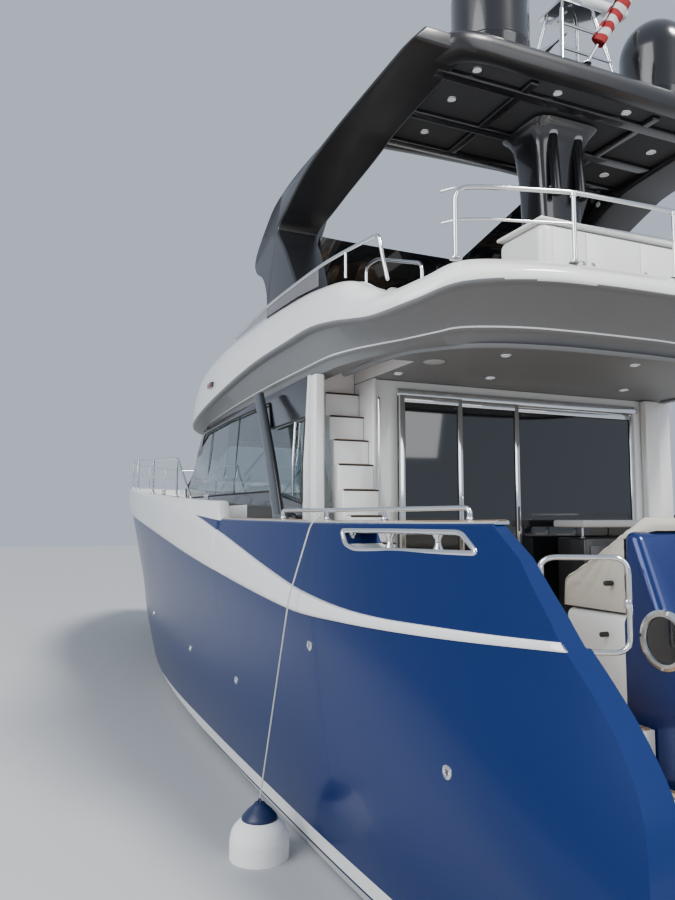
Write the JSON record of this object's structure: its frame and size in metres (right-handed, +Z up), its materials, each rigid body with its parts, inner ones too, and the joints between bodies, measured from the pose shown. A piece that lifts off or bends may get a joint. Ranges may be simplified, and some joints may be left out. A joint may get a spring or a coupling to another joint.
{
  "type": "motor yacht",
  "caption": "Flybridge motor yacht with open hardtop, aft cockpit, sliding doors, steering pods and lifting platform.",
  "frame": {"origin": "on the centreline at mid-length, at the waterline", "axes": "+X to the bow, +Y to port, +Z up"},
  "size_m": [17.476, 5.0585, 8.0591],
  "materials": {
    "hull": "glossy metallic blue paint over glass fibre, white boot stripe",
    "white_moulding": "white gelcoat",
    "black_moulding": "glossy black paint",
    "steel": "polished stainless steel",
    "glass": "dark tinted glass",
    "smoked_acrylic": "smoked acrylic",
    "canvas": "beige canvas",
    "upholstery": "pale outdoor vinyl",
    "dark_upholstery": "dark vinyl",
    "teak": "planked teak",
    "walnut": "satin veneer",
    "bronze": "cast bronze",
    "ensign_cloth": "woven bunting on a polished staff",
    "fender_vinyl": "inflated vinyl",
    "dark_helm": "dark satin moulding"
  },
  "bodies": {
    "boat": {"hull": "hull", "deck_moulding": "white_moulding", "rub_band_port": "white_moulding", "rub_band_starboard": "white_moulding", "transom_block": "hull", "sofa_cover": "canvas", "house_walls": "white_moulding", "side_glass_port": "glass", "side_glass_starboard": "glass", "windscreen_glass": "glass", "side_strut_port": "black_moulding", "side_strut_starboard": "black_moulding", "bulkhead": "white_moulding", "aft_window": "glass", "stairs": "white_moulding", "stair_enclosure": "white_moulding", "galley_counter": "walnut", "saloon_sofa": "upholstery", "lower_helm": "dark_helm", "flybridge_moulding": "white_moulding", "fly_dash": "white_moulding", "fly_screen": "black_moulding", "side_screen_port": "smoked_acrylic", "side_screen_starboard": "smoked_acrylic", "wet_bar": "white_moulding", "helm_console": "black_moulding", "helm_seats": "dark_upholstery", "fly_sofa": "upholstery", "fly_table": "teak", "hardtop": "black_moulding", "hardtop_pylon": "black_moulding", "dome_port": "black_moulding", "dome_starboard": "black_moulding", "radar_mast": "steel", "ensign": "ensign_cloth", "fly_rail": "steel", "bow_rail": "steel", "cap_rail_port": "steel", "cap_rail_starboard": "steel", "mooring_frame_port": "steel", "mooring_frame_starboard": "steel", "anchor": "steel", "fender": "fender_vinyl", "bow_sunpad": "upholstery", "stair_rail": "steel"},
    "door_inner": {"saloon_door_inner": "glass"},
    "door_outer": {"saloon_door_outer": "glass"},
    "scanner": {"radar_scanner": "white_moulding"},
    "hatch": {"stair_hatch": "smoked_acrylic"},
    "gate_port": {"gate_port": "steel"},
    "gate_starboard": {"gate_starboard": "steel"},
    "platform_arms": {"platform_arms": "steel"},
    "platform": {"swim_platform": "teak"},
    "pod_port": {"pod_port": "bronze"},
    "pod_starboard": {"pod_starboard": "bronze"},
    "propeller_port_aft": {"propeller_port_aft": "bronze"},
    "propeller_port_fore": {"propeller_port_fore": "bronze"},
    "propeller_starboard_aft": {"propeller_starboard_aft": "bronze"},
    "propeller_starboard_fore": {"propeller_starboard_fore": "bronze"},
    "locker_lid": {"anchor_locker_lid": "white_moulding"}
  },
  "joints": [
    {"name": "door_inner_slide", "type": "slide", "parent": "boat", "child": "door_inner", "axis": [0, -1, 0], "range_m": [0, 0.62]},
    {"name": "door_outer_slide", "type": "slide", "parent": "boat", "child": "door_outer", "axis": [0, -1, 0], "range_m": [0, 1.25]},
    {"name": "scanner_spin", "type": "hinge", "parent": "boat", "child": "scanner", "pos_m": [-5, 0, 6.65], "axis": [0, 0, 1], "continuous": true},
    {"name": "hatch_lift", "type": "hinge", "parent": "boat", "child": "hatch", "pos_m": [-4.3, 1.752, 3.634], "axis": [-1, 0, 0], "range_deg": [0, 80]},
    {"name": "gate_port_swing", "type": "hinge", "parent": "boat", "child": "gate_port", "pos_m": [-6.66, 1.795, 1.9], "axis": [0, 0, 1], "range_deg": [0, 70]},
    {"name": "gate_starboard_swing", "type": "hinge", "parent": "boat", "child": "gate_starboard", "pos_m": [-6.66, -1.795, 1.9], "axis": [0, 0, -1], "range_deg": [0, 70]},
    {"name": "platform_arm_lift", "type": "hinge", "parent": "boat", "child": "platform_arms", "pos_m": [-7.81, 0, -0.33], "axis": [0, -1, 0], "range_deg": [0, 45]},
    {"name": "platform_level", "type": "hinge", "parent": "platform_arms", "child": "platform", "pos_m": [-8.3, 0, 0.23], "axis": [0, -1, 0], "range_deg": [-45, 0]},
    {"name": "pod_port_steer", "type": "hinge", "parent": "boat", "child": "pod_port", "pos_m": [-5.45, 0.85, -0.64], "axis": [0, 0, 1], "range_deg": [-27, 27]},
    {"name": "pod_starboard_steer", "type": "hinge", "parent": "boat", "child": "pod_starboard", "pos_m": [-5.45, -0.85, -0.64], "axis": [0, 0, 1], "range_deg": [-27, 27]},
    {"name": "locker_lid_lift", "type": "hinge", "parent": "boat", "child": "locker_lid", "pos_m": [6.745, 0, 2.7], "axis": [0, -1, 0], "range_deg": [0, 80]},
    {"name": "propeller_port_aft_spin", "type": "hinge", "parent": "pod_port", "child": "propeller_port_aft", "pos_m": [-4.97, 0.85, -1.08], "axis": [1, 0, 0], "continuous": true},
    {"name": "propeller_port_fore_spin", "type": "hinge", "parent": "pod_port", "child": "propeller_port_fore", "pos_m": [-4.844, 0.85, -1.08], "axis": [1, 0, 0], "continuous": true},
    {"name": "propeller_starboard_aft_spin", "type": "hinge", "parent": "pod_starboard", "child": "propeller_starboard_aft", "pos_m": [-4.97, -0.85, -1.08], "axis": [1, 0, 0], "continuous": true},
    {"name": "propeller_starboard_fore_spin", "type": "hinge", "parent": "pod_starboard", "child": "propeller_starboard_fore", "pos_m": [-4.844, -0.85, -1.08], "axis": [1, 0, 0], "continuous": true}
  ],
  "couplings": [
    {"joint": "platform_level", "follows": "platform_arm_lift", "ratio": -1}
  ]
}
